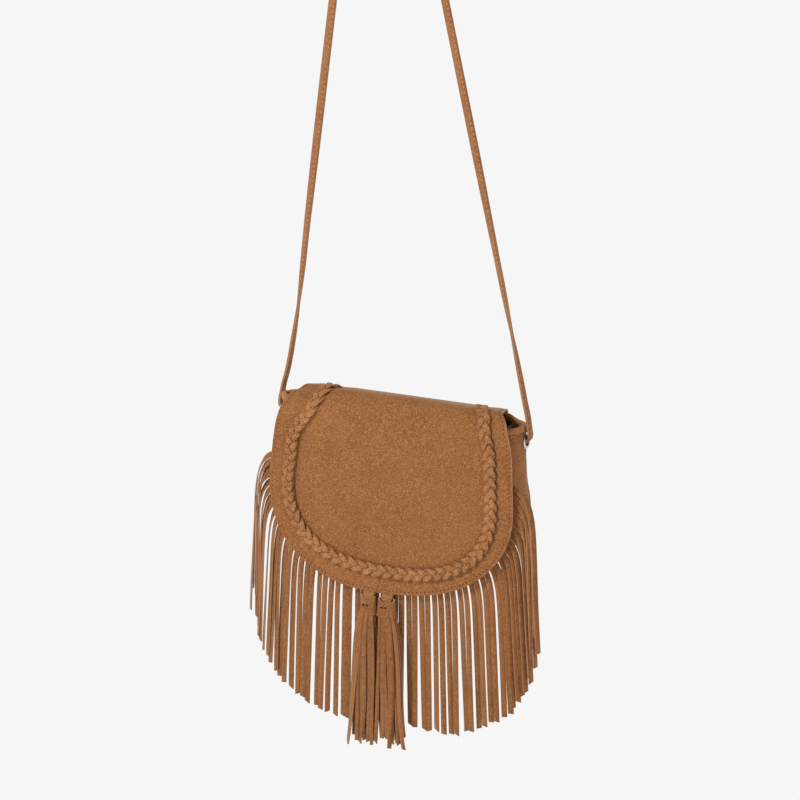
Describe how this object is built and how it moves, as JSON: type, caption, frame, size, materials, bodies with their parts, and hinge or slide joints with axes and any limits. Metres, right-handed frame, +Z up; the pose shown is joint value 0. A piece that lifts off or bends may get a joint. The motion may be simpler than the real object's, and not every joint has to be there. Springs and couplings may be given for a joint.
{
  "type": "fringed suede bag",
  "caption": "Small suede saddle bag with a plaited horseshoe on its flap, hanging tassels, a cut fringe round its bowl and a long narrow strap.",
  "frame": {"origin": "underside of the bend at the top of the strap, where a hook or a peg carries the bag", "axes": "+Z up along the hanging bag, +X to the right as the flap is faced, +Y towards the back, so the flap faces -Y"},
  "size_m": [0.239, 0.0561, 0.7523],
  "materials": {
    "suede": "napped",
    "braid_suede": "napped, plaited",
    "lining_cloth": "plain weave",
    "nickelled_steel": "bright"
  },
  "bodies": {
    "bag": {"front_panel": "suede", "back_panel": "suede", "gusset": "suede", "mouth_binding": "suede", "lining": "lining_cloth", "fringe": "suede", "snap_socket": "nickelled_steel", "snap_socket_washer": "nickelled_steel", "strap": "suede", "strap_knot_left": "suede", "strap_knot_right": "suede", "eyelet_left": "nickelled_steel", "eyelet_right": "nickelled_steel", "eyelet_washer_left": "nickelled_steel", "eyelet_washer_right": "nickelled_steel"},
    "flap": {"flap": "suede", "flap_lining": "suede", "flap_braid": "braid_suede", "snap_post": "nickelled_steel"},
    "tassel_left": {"tassel_left": "suede", "tassel_thong_left": "braid_suede"},
    "tassel_right": {"tassel_right": "suede", "tassel_thong_right": "braid_suede"}
  },
  "joints": [
    {"name": "flap_hinge", "type": "hinge", "parent": "bag", "child": "flap", "pos_m": [0.019, 0.0214, -0.4792], "axis": [-1, 0, 0], "range_deg": [0, 35]},
    {"name": "tassel_left_swing", "type": "hinge", "parent": "flap", "child": "tassel_left", "pos_m": [0.002, -0.0278, -0.6184], "axis": [-1, 0, 0], "range_deg": [-35, 0]},
    {"name": "tassel_right_swing", "type": "hinge", "parent": "flap", "child": "tassel_right", "pos_m": [0.018, -0.0278, -0.6184], "axis": [-1, 0, 0], "range_deg": [-35, 0]}
  ],
  "couplings": [
    {"joint": "tassel_left_swing", "follows": "flap_hinge", "ratio": -1},
    {"joint": "tassel_right_swing", "follows": "flap_hinge", "ratio": -1}
  ]
}
